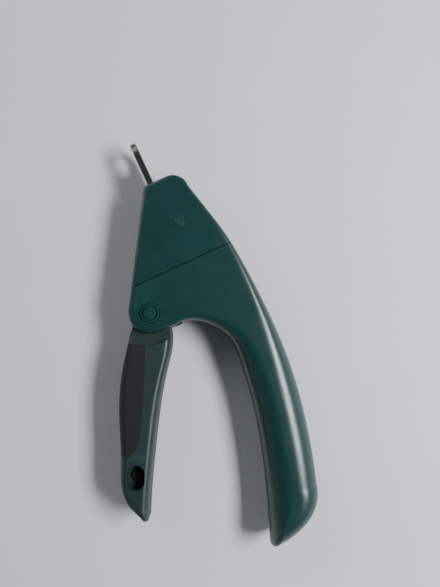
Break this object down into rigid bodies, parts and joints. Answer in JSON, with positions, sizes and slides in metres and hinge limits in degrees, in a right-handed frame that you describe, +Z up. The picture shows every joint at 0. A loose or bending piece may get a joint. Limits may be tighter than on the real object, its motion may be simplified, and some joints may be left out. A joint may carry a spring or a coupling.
{
  "type": "guillotine nail trimmer",
  "caption": "Guillotine nail trimmer for pets: a lever with a rubber grip drives a flat blade through a steel ring at the nose.",
  "frame": {"origin": "middle of the object's box on the face it lies on", "axes": "+Z up through the thickness as the tool lies on its side, +Y along the length towards the ring, +X from the lever towards the palm handle"},
  "size_m": [0.081, 0.1662, 0.0204],
  "materials": {
    "housing_green": "moulded ABS with a fine texture and a soft gloss",
    "pivot_green": "moulded ABS, smooth",
    "lever_green": "moulded ABS with a fine texture",
    "grip_rubber": "soft moulded rubber, fine grain",
    "ring_steel": "stainless strip, brushed",
    "blade_steel": "hardened stainless, ground",
    "core_steel": "pressed steel plate",
    "spring_steel": "spring wire",
    "carrier_nylon": "natural nylon",
    "nylon": "natural nylon",
    "zinc": "zinc-plated steel",
    "black_oxide": "blackened steel"
  },
  "bodies": {
    "frame": {"front_shell": "housing_green", "rear_shell": "housing_green", "head_cover": "housing_green", "ring_guide": "ring_steel", "pivot_sleeve": "pivot_green", "pivot_screw": "zinc", "pivot_washers": "nylon", "shell_screws": "zinc", "cover_screws": "zinc", "return_spring": "spring_steel"},
    "lever": {"lever_core": "core_steel", "lever_front_cover": "lever_green", "lever_rear_cover": "lever_green", "lever_grip": "grip_rubber", "lever_screw": "black_oxide", "drive_pin": "core_steel"},
    "blade": {"blade": "blade_steel", "blade_carrier": "carrier_nylon", "blade_screw": "zinc"}
  },
  "joints": [
    {"name": "lever_squeeze", "type": "hinge", "parent": "frame", "child": "lever", "pos_m": [-0.0275, 0.01044, 0.01], "axis": [0, 0, 1], "range_deg": [0, 27], "stiffness_Nm_per_rad": 0.66, "springref_deg": -17.19, "deforming": ["return_spring"]},
    {"name": "blade_slide", "type": "slide", "parent": "frame", "child": "blade", "axis": [-0.4226, 0.9063, 0], "range_m": [0, 0.01047]}
  ],
  "couplings": [
    {"joint": "blade_slide", "follows": "lever_squeeze", "m_per_rad": 0.022203}
  ]
}
